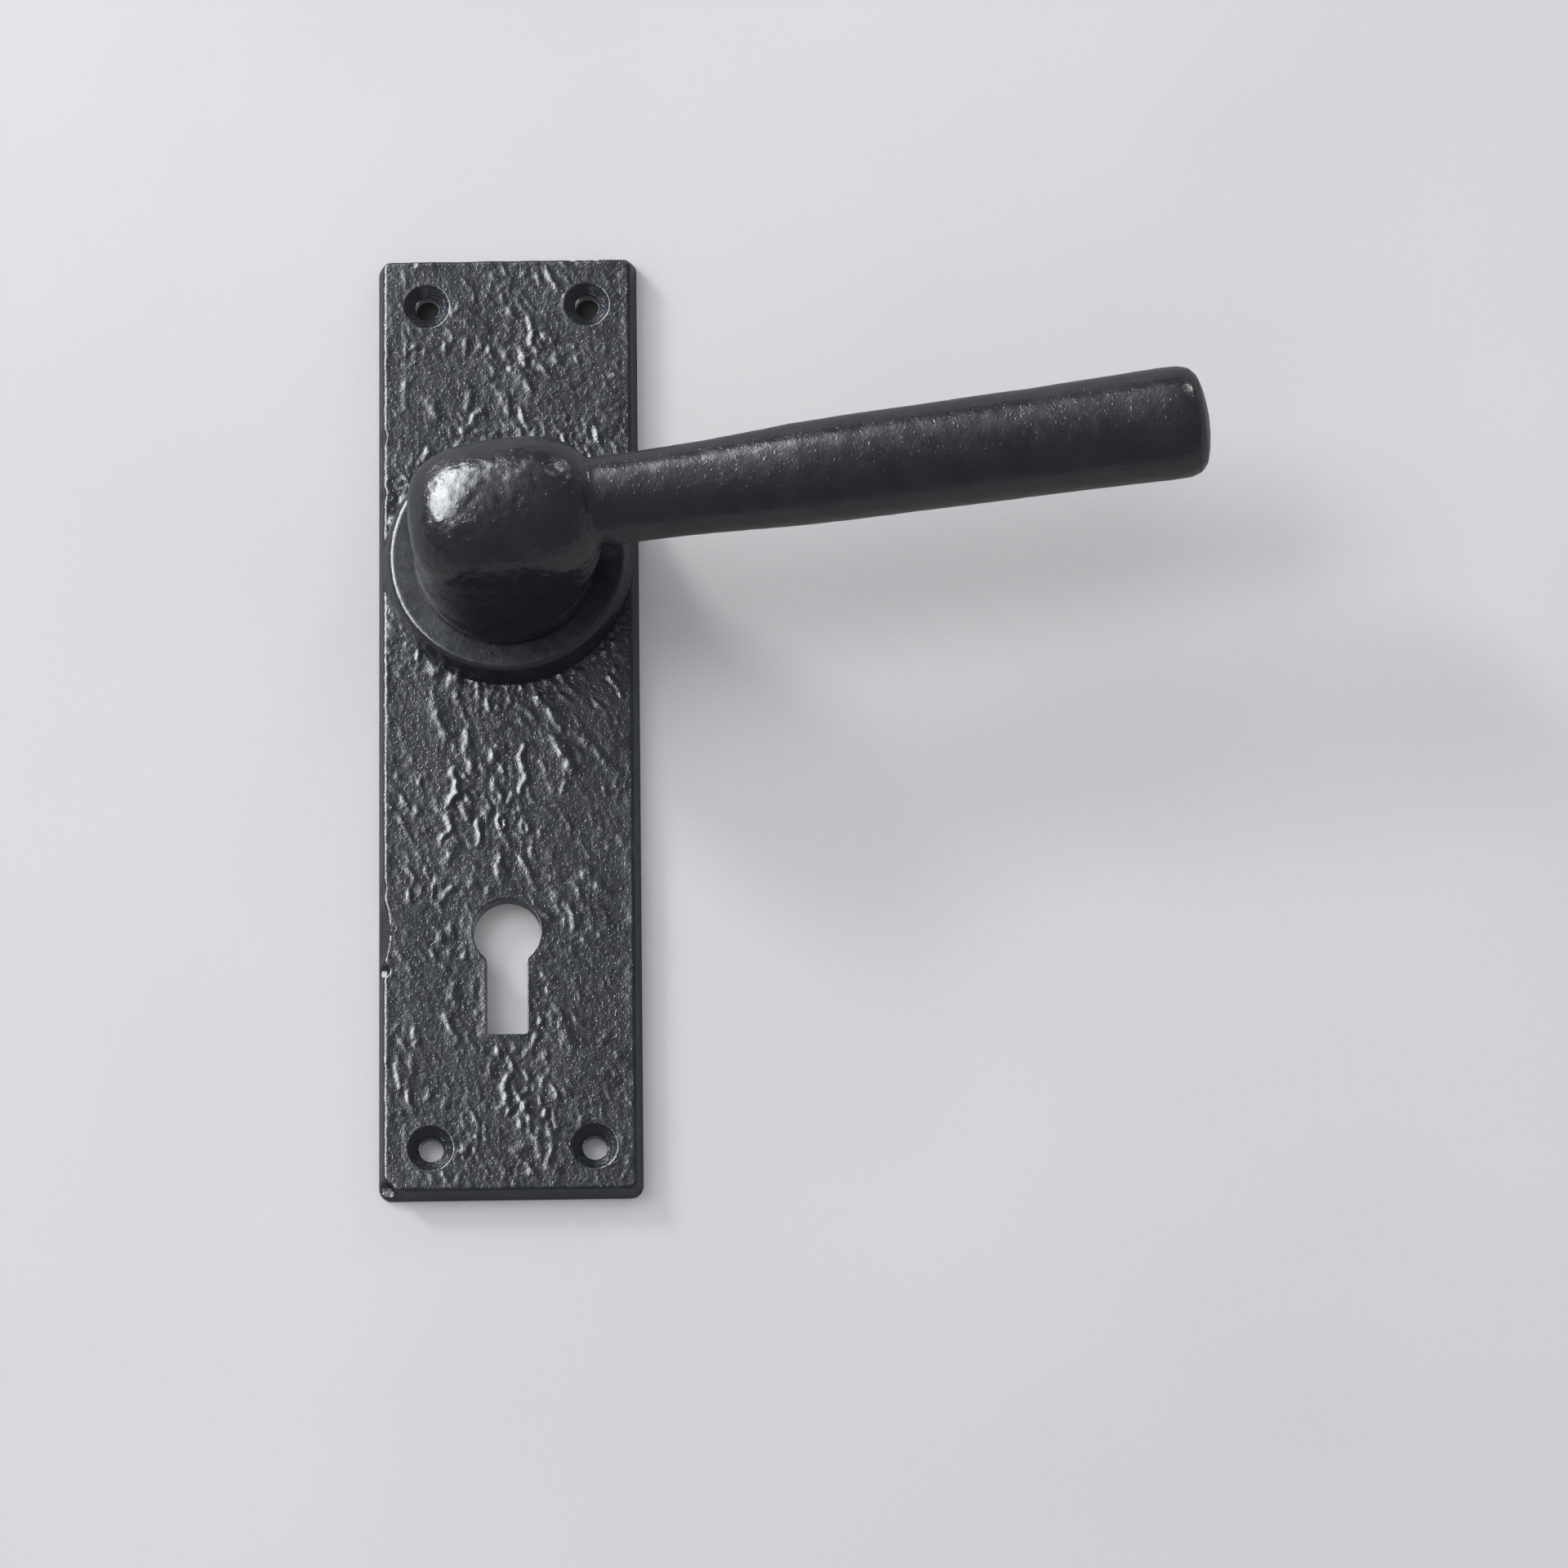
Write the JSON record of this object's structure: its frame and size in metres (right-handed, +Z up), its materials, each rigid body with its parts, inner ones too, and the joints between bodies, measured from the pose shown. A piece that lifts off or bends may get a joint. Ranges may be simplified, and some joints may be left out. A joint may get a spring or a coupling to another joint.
{
  "type": "lever lock handle on backplate",
  "caption": "Black antique cast-iron lever handle on a hammered rectangular backplate with raised rose, keyhole, countersunk screw holes and a sprung return.",
  "frame": {"origin": "centre of the backplate's back face, which lies on the door", "axes": "+Z up along the backplate, +X right towards the lever's tip, +Y into the door, so the front faces -Y"},
  "size_m": [0.1303, 0.0438, 0.152],
  "materials": {
    "black_iron": "satin black lacquer over hammered cast iron",
    "plated_steel": "bright zinc plate",
    "spring_steel": "blued spring steel",
    "white_nylon": "moulded"
  },
  "bodies": {
    "plate_body": {"backplate": "black_iron", "bearing_bush": "white_nylon", "up_stop_pin": "plated_steel", "down_stop_pin": "plated_steel", "spring_anchor_pin": "plated_steel", "rear_cover": "plated_steel", "cover_screw_upper": "plated_steel", "cover_screw_lower": "plated_steel", "return_spring": "spring_steel"},
    "lever_body": {"lever_handle": "black_iron", "front_washer": "white_nylon", "drive_cam": "plated_steel", "spring_post": "plated_steel", "shim_washer": "plated_steel", "circlip": "spring_steel"}
  },
  "joints": [
    {"name": "lever_turn", "type": "hinge", "parent": "plate_body", "child": "lever_body", "pos_m": [0, 0, 0.0252], "axis": [0, 1, 0], "range_deg": [0, 50], "stiffness_Nm_per_rad": 0.9, "springref_deg": -34.38, "deforming": ["return_spring"]}
  ]
}
